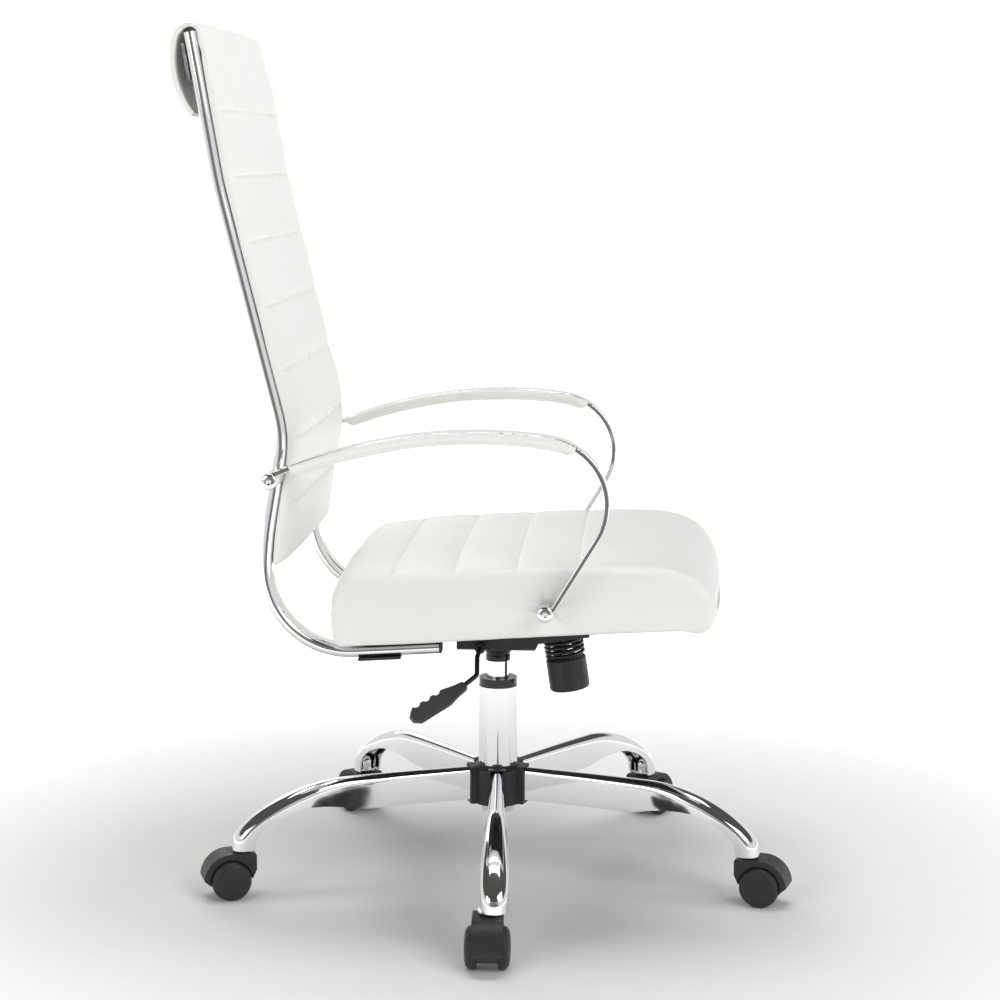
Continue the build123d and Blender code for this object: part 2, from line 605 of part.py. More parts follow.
def save_casters():
    hood, pins = make_hood(), make_caster_pins()
    left, right = make_wheel(1), make_wheel(-1)
    for k in range(LEG_COUNT):
        place = caster_place(k)
        save(f"caster_{k + 1}_hood", place * hood)
        save(f"caster_{k + 1}_pins", Compound([place * pin for pin in pins]))
        save(f"wheel_{k + 1}_left", place * left)
        save(f"wheel_{k + 1}_right", place * right)


def save_mechanism():
    save("piston_rod", make_piston_rod())
    save("thrust_bearing", ring(12, PISTON_ROD_R + 0.02, TUBE_BOTTOM + TUBE_FLOOR + 0.05, 110))
    save("gas_cylinder", make_gas_cylinder())
    save("release_button", disc(BUTTON_R, 296, BUTTON_TOP))
    save("mechanism_boss", make_boss())
    save("mechanism_housing", make_housing())
    save("tilt_pin", rod_x(TILT_PIN_R, -64, 64, TILT_Y, TILT_Z))
    save("tension_spring", make_spring())
    save("tension_bolt", make_tension_bolt())
    save("tension_knob", make_knob())
    save("lever_bush", make_lever_bush())
    save("lever_rod", make_lever_rod())
    save("lever_paddle", make_paddle() - make_lever_rod())


def save_seat():
    save("tilt_plate", make_tilt_plate())
    save("seat_board", make_board())
    save("seat_cushion", make_seat_cushion())
    save("under_seat_bolts", Compound(make_under_bolts()))
    save("frame_brackets", Compound([make_bracket(s) for s in (-1, 1)]))
    save("arm_brackets", Compound([arm_bracket(s) for s in (-1, 1)]))
    save("frame_plugs", Compound([frame_plug(s, e) for s in (-1, 1) for e in (0, 1)]))
    save("back_crossbars", Compound(list(make_crossbars())))
    save("back_cushion", make_back_cushion())
    bolts = []
    for side, hand in ((-1, "right"), (1, "left")):
        save(f"back_frame_{hand}", make_frame_tube(side))
        save(f"arm_{hand}", make_arm(side))
        save(f"armpad_{hand}", make_armpad(side))
        bolts.append(arm_bolt(side, FRAME_X - FRAME_WIDE / 2 + 0.5, *ARM_REAR))
        bolts.append(arm_bolt(side, 190, *ARM_FRONT))
    save("arm_bolts", Compound(bolts))


os.makedirs("parts", exist_ok=True)
save_base()
save_casters()
save_mechanism()
save_seat()
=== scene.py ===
import json
import math

import bmesh
import bpy
import numpy as np
from mathutils import Matrix, Vector, noise


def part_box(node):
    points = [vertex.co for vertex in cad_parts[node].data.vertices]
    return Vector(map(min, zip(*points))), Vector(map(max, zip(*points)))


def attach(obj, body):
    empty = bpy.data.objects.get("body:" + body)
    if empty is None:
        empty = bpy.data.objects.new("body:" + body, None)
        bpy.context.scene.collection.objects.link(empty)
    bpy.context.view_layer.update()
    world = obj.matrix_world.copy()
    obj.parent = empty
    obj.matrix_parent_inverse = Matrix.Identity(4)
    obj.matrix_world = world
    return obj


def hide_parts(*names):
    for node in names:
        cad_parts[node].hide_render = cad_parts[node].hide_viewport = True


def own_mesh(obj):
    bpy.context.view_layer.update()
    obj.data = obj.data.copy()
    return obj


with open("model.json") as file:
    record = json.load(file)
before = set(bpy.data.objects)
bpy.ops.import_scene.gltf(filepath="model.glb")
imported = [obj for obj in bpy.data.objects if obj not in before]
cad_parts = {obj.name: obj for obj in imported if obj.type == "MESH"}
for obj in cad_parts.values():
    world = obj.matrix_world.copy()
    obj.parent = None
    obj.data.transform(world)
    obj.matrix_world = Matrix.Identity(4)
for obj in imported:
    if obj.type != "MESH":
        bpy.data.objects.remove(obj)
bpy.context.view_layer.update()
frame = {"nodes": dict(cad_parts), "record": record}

# ---- driving values, metres and degrees ----------------------------------------------
MM = 0.001
LENS, SENSOR = 81.2, 36.0
CAMERA_AT = Vector((-2.8162, -0.1872, 0.9203))
CAMERA_YAW, CAMERA_PITCH, CAMERA_ROLL = 3.765, 8.685, 0.14
SEAT_RAKE = math.radians(3.65)
SEAT_SEAMS = (0.107, 0.033, -0.041, -0.114)
BACK_SEAMS = (0.515, 0.5914, 0.6673, 0.7424, 0.8175, 0.8932, 0.9697)
SEAM_NEAR = (0.0062, 0.0036, 0.0021, 0.0009)
SEAM_WIDTH, SEAM_MATCH = 0.0020, 0.0005
SWELL = 0.0007
CLOTH_PRESSURE, CLOTH_STEPS = 2.2, 20
STITCH_LEN, STITCH_PITCH, STITCH_R = 0.0030, 0.0047, 0.00042
OUTER_CORNER, INNER_CORNER = 6, 3
FRONT_BOSS_Y = -0.0714

# ---- materials -----------------------------------------------------------------------


class Graph:
    """A node material with short ways to add what every finish here needs."""

    def __init__(self, name, color, rough, metallic=0.0, specular=0.5):
        self.mat = bpy.data.materials.new(name)
        self.mat.use_nodes = True
        self.nodes, self.links = self.mat.node_tree.nodes, self.mat.node_tree.links
        self.shader = self.nodes["Principled BSDF"]
        self.set("Base Color", (*color, 1))
        self.set("Roughness", rough)
        self.set("Metallic", metallic)
        self.set("Specular IOR Level", specular)
        self.place = self.nodes.new("ShaderNodeTexCoord").outputs["Object"]

    def set(self, socket, value):
        self.shader.inputs[socket].default_value = value

    def noise(self, scale, detail=2.0, rough=0.5):
        n = self.nodes.new("ShaderNodeTexNoise")
        n.inputs["Scale"].default_value = scale
        n.inputs["Detail"].default_value = detail
        n.inputs["Roughness"].default_value = rough
        self.links.new(self.place, n.inputs["Vector"])
        return n.outputs["Fac"]

    def cells(self, scale):
        n = self.nodes.new("ShaderNodeTexVoronoi")
        n.feature = "DISTANCE_TO_EDGE"
        n.inputs["Scale"].default_value = scale
        self.links.new(self.place, n.inputs["Vector"])
        return n.outputs["Distance"]

    def spread(self, fac, low, high, socket):
        """The value socket varies from low to high with fac."""
        n = self.nodes.new("ShaderNodeMapRange")
        n.inputs["From Min"].default_value = 0.3
        n.inputs["From Max"].default_value = 0.7
        n.inputs["To Min"].default_value = low
        n.inputs["To Max"].default_value = high
        self.links.new(fac, n.inputs["Value"])
        self.links.new(n.outputs["Result"], self.shader.inputs[socket])

    def tint(self, fac, dark, light):
        n = self.nodes.new("ShaderNodeMix")
        n.data_type = "RGBA"
        n.inputs["A"].default_value = (*dark, 1)
        n.inputs["B"].default_value = (*light, 1)
        self.links.new(fac, n.inputs["Factor"])
        self.links.new(n.outputs["Result"], self.shader.inputs["Base Color"])

    def glow(self, near, far):
        """Light given off past a distance from the middle, so the floor fades to white."""
        gap = self.nodes.new("ShaderNodeVectorMath")
        gap.operation = "LENGTH"
        rise = self.nodes.new("ShaderNodeMapRange")
        rise.interpolation_type = "SMOOTHSTEP"
        rise.inputs["From Min"].default_value = near
        rise.inputs["From Max"].default_value = far
        self.links.new(self.place, gap.inputs[0])
        self.links.new(gap.outputs["Value"], rise.inputs["Value"])
        self.links.new(rise.outputs["Result"], self.shader.inputs["Emission Strength"])
        self.set("Emission Color", (1, 1, 1, 1))

    def bump(self, height, distance, strength=0.5):
        n = self.nodes.new("ShaderNodeBump")
        n.inputs["Strength"].default_value = strength
        n.inputs["Distance"].default_value = distance
        self.links.new(height, n.inputs["Height"])
        last = self.shader.inputs["Normal"]
        if last.is_linked:
            self.links.new(last.links[0].from_socket, n.inputs["Normal"])
        self.links.new(n.outputs["Normal"], last)


def leather():
    g = Graph("white_leather", (0.83, 0.835, 0.80), 0.42, specular=0.45)
    g.tint(g.noise(9, 3), (0.81, 0.815, 0.775), (0.86, 0.865, 0.835))
    g.spread(g.noise(260, 2), 0.36, 0.50, "Roughness")
    g.bump(g.cells(950), 0.00010, 0.35)
    g.bump(g.noise(420, 3), 0.00018, 0.35)
    g.set("Coat Weight", 0.06)
    g.set("Coat Roughness", 0.35)
    return g.mat


def thread():
    g = Graph("white_thread", (0.80, 0.80, 0.76), 0.6, specular=0.3)
    g.bump(g.noise(2600, 1), 0.0001, 0.6)
    return g.mat


def chrome():
    g = Graph("chrome", (0.80, 0.80, 0.81), 0.05, metallic=1.0)
    g.spread(g.noise(38, 4), 0.035, 0.085, "Roughness")
    g.bump(g.noise(24, 2), 0.0004, 0.05)
    return g.mat


def steel(name, color, rough):
    g = Graph(name, color, rough, metallic=1.0)
    g.spread(g.noise(90, 4), rough - 0.08, rough + 0.1, "Roughness")
    g.bump(g.noise(700, 2), 0.00008, 0.3)
    return g.mat


def painted():
    g = Graph("black_steel", (0.022, 0.022, 0.024), 0.42, specular=0.45)
    g.bump(g.noise(900, 3), 0.0002, 0.35)
    g.spread(g.noise(60, 3), 0.34, 0.5, "Roughness")
    return g.mat


def plastic(name, color, rough, grain):
    g = Graph(name, color, rough, specular=0.45)
    light = tuple(c * 1.35 + 0.002 for c in color)
    g.tint(g.noise(45, 3), color, light)
    g.spread(g.noise(120, 3), rough - 0.06, rough + 0.08, "Roughness")
    g.bump(g.noise(grain, 3), 0.00016, 0.4)
    return g.mat


def plywood():
    """The board's underside, coloured near-black as painted shade: the dark under the seat that the
    chrome below reflects.
    """
    g = Graph("plywood", (0.020, 0.020, 0.021), 0.85, specular=0.15)
    g.tint(g.noise(60, 5), (0.015, 0.015, 0.016), (0.030, 0.030, 0.032))
    g.bump(g.cells(600), 0.0003, 0.4)
    return g.mat


FINISH = {
    "white_leather": leather(),
    "chrome": chrome(),
    "black_plastic": plastic("black_plastic", (0.018, 0.018, 0.019), 0.46, 1500),
    "gloss_black": plastic("gloss_black", (0.010, 0.010, 0.011), 0.16, 400),
    "black_steel": painted(),
    "steel": steel("steel", (0.56, 0.57, 0.58), 0.24),
    # the board's near-black colour is painted shade under the seat
    "plywood": plywood(),
    "grey_plastic": plastic("grey_plastic", (0.045, 0.046, 0.048), 0.42, 1200),
}
THREAD = thread()


def finish_cad():
    """Gives every carried-over CAD node the material of its slot."""
    slots = {row["node"]: row["material_slot"] for row in frame["record"]["subparts"]}
    for name, node in frame["nodes"].items():
        node.data.materials.clear()
        node.data.materials.append(FINISH[slots[name]])


# ---- mesh helpers --------------------------------------------------------------------


def make_object(name, verts, faces, material, smooth=True):
    mesh = bpy.data.meshes.new(name)
    mesh.from_pydata([tuple(v) for v in verts], [], faces)
    mesh.validate()
    mesh.update()
    mesh.materials.append(material)
    mesh.polygons.foreach_set("use_smooth", [smooth] * len(mesh.polygons))
    obj = bpy.data.objects.new(name, mesh)
    bpy.context.scene.collection.objects.link(obj)
    return obj


def ring_faces(rings, around, close_ends=True):
    """Quads between rings of `around` points each, and one flat face over each open end."""
    faces = []
    for i in range(rings - 1):
        for j in range(around):
            k = (j + 1) % around
            first, second = i * around, (i + 1) * around
            faces.append((first + j, first + k, second + k, second + j))
    if close_ends:
        for base, flip in ((0, True), ((rings - 1) * around, False)):
            cap = list(range(base, base + around))
            faces.append(tuple(reversed(cap)) if flip else tuple(cap))
    return faces


def smoothstep(low, high, value):
    t = min(1.0, max(0.0, (value - low) / (high - low)))
    return t * t * (3 - 2 * t)


def hit(node, origin, direction):
    """First point of a CAD node met from origin along direction."""
    found, place, _, _ = frame["nodes"][node].ray_cast(Vector(origin), Vector(direction))
    if not found:
        raise ValueError(f"nothing of {node} from {origin}")
    return place


def section_loop(half, t_out, t_in, r_out, r_in, flat_n, side_n, back):
    """Closed loop of (x, t) round a padded section, clockwise from the outer face's middle.

    back lists the points of the inner face from its edge to the middle. Returns the points and,
    for each, where it lies: 'out', 'edge', 'side', 'under' or 'in'.
    """
    right, marks = [], []
    for j in range(flat_n):
        right.append(((half - r_out) * j / flat_n, t_out))
        marks.append("out")
    for j in range(OUTER_CORNER):
        a = math.pi / 2 * (1 - j / OUTER_CORNER)
        right.append((half - r_out + r_out * math.cos(a), t_out - r_out + r_out * math.sin(a)))
        marks.append("edge")
    for j in range(side_n):
        t = t_out - r_out + (t_in + r_in - t_out + r_out) * j / side_n
        right.append((half, t))
        marks.append("side")
    for j in range(INNER_CORNER):
        a = math.pi / 2 * j / INNER_CORNER
        right.append((half - r_in + r_in * math.cos(a), t_in + r_in - r_in * math.sin(a)))
        marks.append("under")
    right += back
    marks += ["in"] * len(back)
    left = [(-x, t) for x, t in reversed(right[1:-1])]
    return right + left, marks + list(reversed(marks[1:-1]))


def flat_back(edge, t, count):
    return [(edge * (1 - j / count), t) for j in range(count + 1)]


def refine(stops, seams, step):
    """Sample positions from the first stop to the last, denser on both sides of each seam."""
    low, high = stops
    count = max(2, round((high - low) / step))
    spots = [low + (high - low) * i / count for i in range(count + 1)]
    spots = [s for s in spots if all(abs(s - q) > SEAM_NEAR[0] * 1.3 for q in seams)]
    for q in seams:
        spots += [q] + [q + d for d in SEAM_NEAR] + [q - d for d in SEAM_NEAR]
    return sorted(spots)


def seam_dip(s, seams, depth, width):
    return sum(-depth * math.exp(-(((s - q) / width) ** 2)) for q in seams)


def panel_swell(s, stops, height):
    """Fullness of the panel that s lies in, zero at both of its seams."""
    for low, high in zip(stops, stops[1:]):
        if low <= s <= high:
            t = (s - low) / (high - low)
            return height * (1 - abs(2 * t - 1) ** 2.6)
    return 0.0


def simulate(obj, pin_weights, cap):
    """Inflates a padded mesh with Cloth between its pinned seams, then keeps the result."""
    group = obj.vertex_groups.new(name="pins")
    for index, weight in enumerate(pin_weights):
        group.add([index], weight, "REPLACE")
    cloth = obj.modifiers.new("cloth", "CLOTH")
    cloth.settings.quality = 4
    cloth.settings.mass = 0.3
    cloth.settings.tension_stiffness = 9
    cloth.settings.compression_stiffness = 6
    cloth.settings.shear_stiffness = 4
    cloth.settings.bending_stiffness = 0.6
    cloth.settings.air_damping = 4
    cloth.settings.use_pressure = True
    cloth.settings.uniform_pressure_force = CLOTH_PRESSURE
    cloth.settings.vertex_group_mass = "pins"
    cloth.settings.pin_stiffness = 1.0
    cloth.settings.effector_weights.gravity = 0
    cloth.collision_settings.use_self_collision = False
    scene = bpy.context.scene
    for step in range(1, CLOTH_STEPS + 1):
        scene.frame_set(step)
    dg = bpy.context.evaluated_depsgraph_get()
    moved = obj.evaluated_get(dg).data
    count = len(obj.data.vertices)
    after = np.empty(count * 3)
    moved.vertices.foreach_get("co", after)
    before = np.empty(count * 3)
    obj.data.vertices.foreach_get("co", before)
    shift = (after - before).reshape(-1, 3)
    shift[~np.isfinite(shift).all(axis=1)] = 0
    size = np.linalg.norm(shift, axis=1)
    scale = np.where(size > 1e-9, cap * np.tanh(size / cap) / np.maximum(size, 1e-9), 0)
    obj.modifiers.remove(cloth)
    obj.vertex_groups.clear()
    scene.frame_set(1)
    after = before.reshape(-1, 3) + shift * scale[:, None]
    obj.data.vertices.foreach_set("co", after.ravel())
    obj.data.update()


def subdivide(obj, levels=1):
    mod = obj.modifiers.new("smooth", "SUBSURF")
    mod.levels = mod.render_levels = levels
    dg = bpy.context.evaluated_depsgraph_get()
    mesh = bpy.data.meshes.new_from_object(obj.evaluated_get(dg))
    obj.modifiers.clear()
    obj.data = mesh


def stitches(name, runs, body):
    """Small raised thread capsules along runs of (point, outward normal)."""
    verts, faces = [], []
    ring, rows = 6, ((0.0, 0.35), (0.14, 0.85), (0.5, 1.0), (0.86, 0.85), (1.0, 0.35))
    for run in runs:
        marks = [0.0]
        for (p, _), (q, _) in zip(run, run[1:]):
            marks.append(marks[-1] + (q - p).length)
        total = int(marks[-1] / STITCH_PITCH)
        spot = 0
        for n in range(total):
            at = (n + 0.5) * STITCH_PITCH
            while marks[spot + 1] < at:
                spot += 1
            t = (at - marks[spot]) / (marks[spot + 1] - marks[spot])
            (p, pn), (q, qn) = run[spot], run[spot + 1]
            centre, normal = p.lerp(q, t), pn.lerp(qn, t).normalized()
            along = (q - p).normalized()
            across = along.cross(normal).normalized()
            base = len(verts)
            for f, wide in rows:
                mid = centre + along * (f - 0.5) * STITCH_LEN
                for j in range(ring):
                    a = 2 * math.pi * j / ring
                    verts.append(mid + (across * math.cos(a) + normal * math.sin(a)) * STITCH_R * wide)
            for r in range(len(rows) - 1):
                for j in range(ring):
                    k = (j + 1) % ring
                    faces.append((base + r * ring + j, base + r * ring + k,
                                  base + (r + 1) * ring + k, base + (r + 1) * ring + j))
            faces.append(tuple(base + j for j in reversed(range(ring))))
            last = base + (len(rows) - 1) * ring
            faces.append(tuple(last + j for j in range(ring)))
    obj = make_object(name, verts, faces, THREAD)
    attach(obj, body)
    return obj


def snap(obj, point):
    """Closest place on a finished piece, with its outward normal."""
    _, place, normal, _ = obj.closest_point_on_mesh(point)
    return place, normal


def roughen(obj, size, height, seed):
    """Slow unevenness of soft upholstery, along the normals."""
    mesh = obj.data
    shifts = []
    for v in mesh.vertices:
        lift = noise.noise(v.co / size + Vector((seed, 0, 0))) * height
        lift += noise.noise(v.co / (size * 0.35) + Vector((0, seed, 0))) * height * 0.35
        shifts.append(v.co + v.normal * lift)
    mesh.vertices.foreach_set("co", [c for v in shifts for c in v])
    mesh.update()


# ---- seat cushion --------------------------------------------------------------------

seat_low, seat_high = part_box("seat_cushion")
board_low, board_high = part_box("seat_board")
SEAT_HALF = seat_high.x - 0.5 * MM
SEAT_REAR, SEAT_FRONT = seat_high.y + 2 * MM, seat_low.y - 4 * MM
SEAT_MID = 32 * MM
UNDER_Z = board_low.z + 0.165 * math.sin(SEAT_RAKE)
SKIRT_H, BOARD_H = 2.3 * MM, 12.3 * MM
SEAT_TOP = 0.0850
NOSE, TAIL = 0.078, 0.026
POCKET_X, POCKET_Y = board_high.x + 0.4 * MM, (-0.2385, 0.1655)


def seat_point(x, y, h):
    """Point of the raked seat frame: y along the board, h over its underside."""
    c, s = math.cos(SEAT_RAKE), math.sin(SEAT_RAKE)
    return Vector((x, y * c + h * s, UNDER_Z - y * s + h * c))


def round_end(s, end, length, power):
    """1 inside, falling to 0 at the end as a superellipse."""
    t = 1 - abs(s - end) / length
    return 1.0 if t <= 0 else max(0.0, 1 - min(t, 1) ** power) ** (1 / power)


def seat_heights(s):
    """Height of the cushion's top and bottom at s along the board, before crown and channels."""
    top = SEAT_TOP + 0.012 * (s + 0.06) - 0.16 * (s + 0.04) ** 2
    low = SKIRT_H - 0.0042 * smoothstep(-0.238, -0.262, s)
    top_f = min(round_end(s, SEAT_REAR, TAIL, 2.5), round_end(s, SEAT_FRONT, NOSE, 2.15))
    low_f = min(round_end(s, SEAT_REAR, 0.012, 2.6), round_end(s, SEAT_FRONT, 0.026, 2.2))
    return SEAT_MID + (top - SEAT_MID) * top_f, SEAT_MID - (SEAT_MID - low) * low_f


def seat_rows():
    """Where the cushion's cross-sections lie, closer together at its ends and seams."""
    front = [SEAT_FRONT + NOSE * (1 - math.cos(a * math.pi / 2 / 15)) for a in range(1, 15)]
    rear = [SEAT_REAR - TAIL * (1 - math.cos(a * math.pi / 2 / 8)) for a in range(1, 8)]
    middle = refine((SEAT_FRONT + 0.080, SEAT_REAR - 0.027), SEAT_SEAMS, 0.0058)
    return sorted(front + middle + rear)


def seat_surface(s, x, t, mark, top, low):
    """Point of the cushion for a section point (x, t) of row s, with crown and channels."""
    across = abs(x) / SEAT_HALF
    depth = smoothstep(0.0, 0.06, top - low)
    if mark in ("out", "edge"):
        stops = (SEAT_FRONT,) + tuple(sorted(SEAT_SEAMS)) + (SEAT_REAR,)
        edge_fade = 1 - 0.65 * smoothstep(0.90, 1.0, across)
        t += 0.0070 * depth * (1 - across ** 3.2)
        t += seam_dip(s, SEAT_SEAMS, 0.0022, SEAM_WIDTH) * edge_fade
        t += panel_swell(s, stops, SWELL) * edge_fade * depth
    if mark == "side":
        belly = math.sin(math.pi * min(1, max(0, (t - low) / max(top - low, 1e-6))))
        x += math.copysign(0.0032 * belly * depth, x)
    waist = 0.004 * math.sin(math.pi * (s - SEAT_FRONT) / (SEAT_REAR - SEAT_FRONT))
    x -= math.copysign(waist * across ** 2, x) if x else 0
    bow = 0.010 * smoothstep(-0.16, -0.27, s) - 0.005 * smoothstep(0.12, 0.18, s)
    return seat_point(x, s + bow * across ** 2.6, t)


def build_seat():
    """Seat cushion with its channels; also returns the line of its side seams."""
    verts, pins, rows, edge_line = [], [], seat_rows(), []
    for s in rows:
        top, low = seat_heights(s)
        thick = top - low
        r_out, r_in = min(0.011, 0.42 * thick), min(0.007, 0.3 * thick)
        half = SEAT_HALF - 0.016 * (1 - smoothstep(0.0, 0.055, thick)) ** 2
        inner = BOARD_H if POCKET_Y[0] < s < POCKET_Y[1] else low
        back = [(half - r_in, low), (POCKET_X, low)] + flat_back(POCKET_X - 0.1 * MM, inner, 18)
        loop, marks = section_loop(half, top, low, r_out, r_in, 42, 14, back)
        seam_row = any(abs(s - q) < SEAM_MATCH for q in SEAT_SEAMS)
        first_side = marks.index("side")
        for n, ((x, t), mark) in enumerate(zip(loop, marks)):
            seam = n in (first_side, len(loop) - first_side)
            p = seat_surface(s, x - math.copysign(0.0011, x) if seam else x, t, mark, top, low)
            verts.append(p)
            held = mark in ("in", "under") or seam or (seam_row and mark in ("out", "edge"))
            pins.append(1.0 if held or thick < 0.02 else 0.0)
        edge_line.append((s, top - r_out, half, thick))
    around = len(verts) // len(rows)
    faces = ring_faces(len(rows), around)
    seat = make_object("seat_upholstery", verts, faces, FINISH["white_leather"])
    simulate(seat, pins, 0.0014)
    subdivide(seat)
    roughen(seat, 0.085, 0.0009, 3.0)
    pucker(seat)
    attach(seat, "seat")
    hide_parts("seat_cushion")
    return seat, edge_line


def pucker(seat):
    """Leather drawn in round the two front arm bosses, in small radiating folds."""
    arm_low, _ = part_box("arm_bolts")
    boss_z = arm_low.z + 6.8 * MM
    mesh = seat.data
    coords = []
    for v in mesh.vertices:
        p = v.co.copy()
        if abs(p.x) > SEAT_HALF - 0.02:
            dy, dz = p.y - FRONT_BOSS_Y, p.z - boss_z
            far = math.hypot(dy, dz)
            if far < 0.07:
                turn = math.atan2(dz, dy)
                pull = 0.0042 * math.exp(-((far / 0.013) ** 2))
                fold = 0.0020 * math.sin(5 * turn + 0.8) * math.exp(-((far - 0.018) / 0.016) ** 2)
                crease = 0.0016 * math.exp(-((turn - 1.9) / 0.16) ** 2) * smoothstep(0.07, 0.012, far)
                p.x -= math.copysign(pull + fold + crease, p.x)
        coords.extend(p)
    mesh.vertices.foreach_set("co", coords)
    mesh.update()


def seat_stitching(seat, edge_line):
    """Thread along both side edges of the seat's top and along its channels."""
    runs = []
    for side in (-1, 1):
        run = []
        for s, t, half, thick in edge_line:
            if thick > 0.022:
                run.append(snap(seat, seat_point(side * (half + 0.001), s, t + 0.0015)))
        runs.append(run)
    for q in SEAT_SEAMS:
        top, _ = seat_heights(q)
        spots = [seat_point(x / 40 * SEAT_HALF * 0.96, q, top) for x in range(-40, 41)]
        runs.append([snap(seat, spot) for spot in spots])
    stitches("seat_stitching", runs, "seat")


# ---- back cushion with its fold-over hood --------------------------------------------

back_low, back_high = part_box("back_cushion")
tube_low, tube_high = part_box("back_frame_right")
BACK_HALF = back_high.x - 0.5 * MM
TUBE_X = (tube_low.x + tube_high.x) / 2
COVER_FOOT, HOOD_START = 0.4365, 1.045
# (y, z) of the cover's inner line over the tubes' top and down behind them
HOOD_INSIDE = ((0.3385, 1.0670), (0.3440, 1.0680), (0.3515, 1.0655), (0.3575, 1.0575), (0.3608, 1.0440),
               (0.3618, 1.0300), (0.3608, 1.0155), (0.3575, 0.9995), (0.3512, 0.9840), (0.3440, 0.9730),
               (0.3370, 0.9650))


def distances(path):
    """Distance along a (y, z) path at each of its points."""
    return np.r_[0, np.cumsum(np.linalg.norm(np.diff(path, axis=0), axis=1))]


def smooth_path(points, step, rounds):
    """Evenly spaced (y, z) path through points, its corners eased."""
    pts = np.array(points)
    gaps = distances(pts)
    at = np.linspace(0, gaps[-1], max(3, round(gaps[-1] / step)))
    path = np.c_[np.interp(at, gaps, pts[:, 0]), np.interp(at, gaps, pts[:, 1])]
    for _ in range(rounds):
        path[1:-1] = 0.25 * path[:-2] + 0.5 * path[1:-1] + 0.25 * path[2:]
    return path


def back_path():
    """Inner line of the back cover: up the tubes' front, over their top and down behind."""
    front = []
    for i in range(90):
        z = COVER_FOOT + (HOOD_START - COVER_FOOT) * i / 89
        front.append((hit("back_frame_right", (TUBE_X, -1, z), (0, 1, 0)).y, z))
    return smooth_path(front + list(HOOD_INSIDE), 0.003, 12)


def path_frames(path, spots):
    """For each distance in spots: the path's centre there and its normal."""
    gaps = distances(path)
    ways = np.gradient(path, gaps, axis=0)
    frames = []
    for s in spots:
        y, z = np.interp(s, gaps, path[:, 0]), np.interp(s, gaps, path[:, 1])
        way = Vector((0, np.interp(s, gaps, ways[:, 0]), np.interp(s, gaps, ways[:, 1]))).normalized()
        frames.append((Vector((0, y, z)), Vector((0, -way.z, way.y))))
    return frames


def length_at_height(path, z):
    """Distance along the path where its front run reaches a height."""
    gaps = distances(path)
    peak = int(np.argmax(path[:, 1]))
    return float(np.interp(z, path[:peak, 1], gaps[:peak]))


def build_back():
    """Back cover: a thin pad up the tubes' front that folds over their top into a hood."""
    path = back_path()
    seams = [length_at_height(path, z) for z in BACK_SEAMS]
    top_s = length_at_height(path, HOOD_START)
    total = distances(path)[-1]
    bottom = [0.013 * (1 - math.cos(a * math.pi / 2 / 6)) for a in range(6)]
    rows = bottom + refine((0.0140, total - 0.0005), seams, 0.0055)
    stops = [0.0] + seams + [top_s]
    verts, pins = [], []
    for s, (centre, normal) in zip(rows, path_frames(path, rows)):
        hood = smoothstep(top_s - 0.055, top_s + 0.012, s)
        tail = smoothstep(total - 0.012, total, s)
        end = round_end(s, 0, 0.013, 2.2) if s < 0.013 else 1.0
        edge_t = (0.0090 - 0.0020 * hood) * max(0.25, end) * (1 - 0.45 * tail)
        crown = 0.0090 * (1 - 0.6 * hood) * (1 - tail) * end
        t_in = 0.0006 + 0.003 * (1 - end)
        r = min(0.0045, 0.42 * (edge_t - t_in))
        half = BACK_HALF - 0.003 * hood - 0.006 * (1 - end)
        inner = flat_back(half - r * 0.7, t_in, 18)
        loop, marks = section_loop(half, edge_t, t_in, r, r * 0.7, 38, 2, inner)
        seam_row = any(abs(s - q) < SEAM_MATCH for q in seams)
        for (x, t), mark in zip(loop, marks):
            across = abs(x) / half
            if mark == "out":
                t += crown * (1 - across ** 7)
                fade = 1 - 0.55 * smoothstep(0.93, 1.0, across)
                t += seam_dip(s, seams, 0.0026, SEAM_WIDTH) * fade * (1 - across ** 14 * 0.5)
                t += panel_swell(s, stops, SWELL) * fade * (1 - hood)
            if hood > 0.5:
                gather = smoothstep(0.80, 1.0, across) * (1 - tail)
                gather_end = smoothstep(top_s + 0.075, top_s + 0.01, s)
                t += 0.0011 * math.sin(s * 900) * gather * gather_end
            verts.append(centre + normal * t + Vector((x, 0, 0)))
            held = mark != "out" or seam_row or hood > 0.05 or end < 1
            pins.append(1.0 if held else 0.0)
    around = len(verts) // len(rows)
    faces = ring_faces(len(rows), around)
    back = make_object("back_upholstery", verts, faces, FINISH["white_leather"])
    simulate(back, pins, 0.0011)
    subdivide(back)
    roughen(back, 0.09, 0.0006, 11.0)
    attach(back, "seat")
    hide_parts("back_cushion")
    runs = []
    for s in seams + [length_at_height(path, 0.4425)]:
        (centre, normal), = path_frames(path, [s])
        runs.append([snap(back, centre + normal * 0.03 + Vector((x / 40 * BACK_HALF * 0.95, 0, 0)))
                     for x in range(-40, 41)])
    stitches("back_stitching", runs, "seat")


# ---- arm pads ------------------------------------------------------------------------


